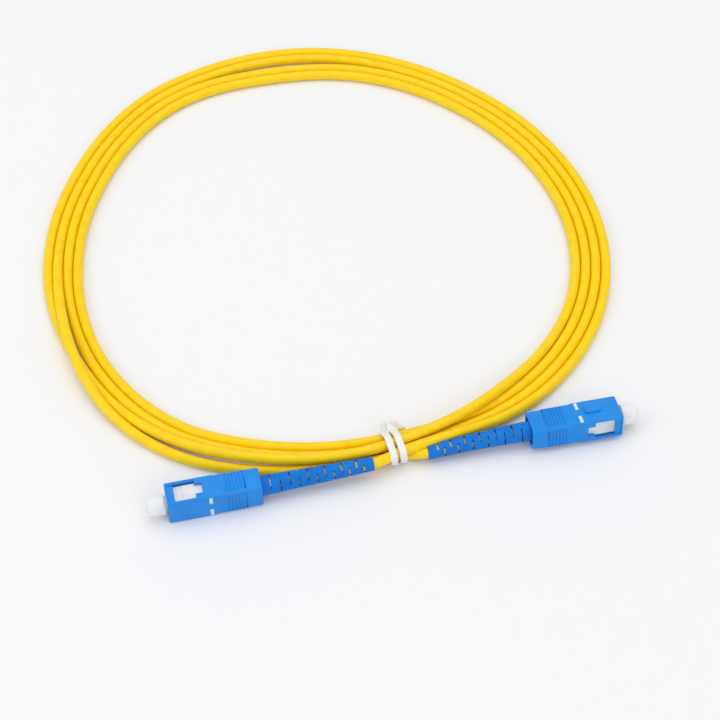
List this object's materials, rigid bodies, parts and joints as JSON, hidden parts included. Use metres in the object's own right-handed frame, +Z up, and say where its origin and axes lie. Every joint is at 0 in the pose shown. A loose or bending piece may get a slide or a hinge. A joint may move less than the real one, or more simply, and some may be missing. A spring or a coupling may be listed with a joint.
{
  "type": "fiber optic patch cord",
  "caption": "Simplex optical jumper: a coiled yellow jacketed cord held by a wire tie, with a push-pull blue plug, slotted boot and pale dust cap at each end.",
  "frame": {"origin": "on the table plane, under the centre of the whole coiled cord's bounding box", "axes": "+Z up off the table, square to the coil; +Y from the two plugs across the coil; +X along the row of plugs, to the right"},
  "size_m": [0.1728, 0.185, 0.0091],
  "materials": {
    "blue_plastic": "moulded thermoplastic, satin",
    "white_plastic": "moulded thermoplastic, satin",
    "zirconia": "polished zirconia",
    "plated_metal": "drawn, nickel plated, crimped",
    "clear_tube": "translucent fluoropolymer",
    "spring_steel": "drawn stainless wire",
    "aramid": "yellow aramid fibres",
    "blue_rubber": "moulded elastomer, matt",
    "buffer": "tight-buffered glass fibre",
    "pale_cap": "translucent soft polyethylene",
    "jacket": "yellow low-smoke jacket, satin",
    "tie_white": "vinyl-coated wire, flat"
  },
  "bodies": {
    "cord": {"cord_coil": "jacket", "twist_tie": "tie_white", "left_lead": "jacket", "left_plug_frame": "white_plastic", "left_stop_ring": "plated_metal", "left_crimp_sleeve": "plated_metal", "left_aramid_yarn": "aramid", "left_boot": "blue_rubber", "left_buffered_fibre": "buffer", "left_inner_tube": "clear_tube", "left_spring": "spring_steel", "right_lead": "jacket", "right_plug_frame": "white_plastic", "right_stop_ring": "plated_metal", "right_crimp_sleeve": "plated_metal", "right_aramid_yarn": "aramid", "right_boot": "blue_rubber", "right_buffered_fibre": "buffer", "right_inner_tube": "clear_tube", "right_spring": "spring_steel"},
    "left_coupling": {"left_housing": "blue_plastic"},
    "left_tip": {"left_ferrule": "zirconia", "left_ferrule_holder": "plated_metal"},
    "left_cap": {"left_dust_cap": "pale_cap"},
    "right_coupling": {"right_housing": "blue_plastic"},
    "right_tip": {"right_ferrule": "zirconia", "right_ferrule_holder": "plated_metal"},
    "right_cap": {"right_dust_cap": "pale_cap"}
  },
  "joints": [
    {"name": "left_housing_slide", "type": "slide", "parent": "cord", "child": "left_coupling", "axis": [0.9759, 0.2181, 0], "range_m": [0, 0.0018]},
    {"name": "left_ferrule_float", "type": "slide", "parent": "cord", "child": "left_tip", "axis": [0.9759, 0.2181, 0], "range_m": [0, 0.001], "stiffness_N_per_m": 3500, "deforming": ["left_spring"]},
    {"name": "left_cap_pull", "type": "slide", "parent": "cord", "child": "left_cap", "axis": [-0.9759, -0.2181, 0], "range_m": [0, 0.015]},
    {"name": "right_housing_slide", "type": "slide", "parent": "cord", "child": "right_coupling", "axis": [-0.9796, -0.2011, 0], "range_m": [0, 0.0018]},
    {"name": "right_ferrule_float", "type": "slide", "parent": "cord", "child": "right_tip", "axis": [-0.9796, -0.2011, 0], "range_m": [0, 0.001], "stiffness_N_per_m": 3500, "deforming": ["right_spring"]},
    {"name": "right_cap_pull", "type": "slide", "parent": "cord", "child": "right_cap", "axis": [0.9796, 0.2011, 0], "range_m": [0, 0.015]}
  ]
}
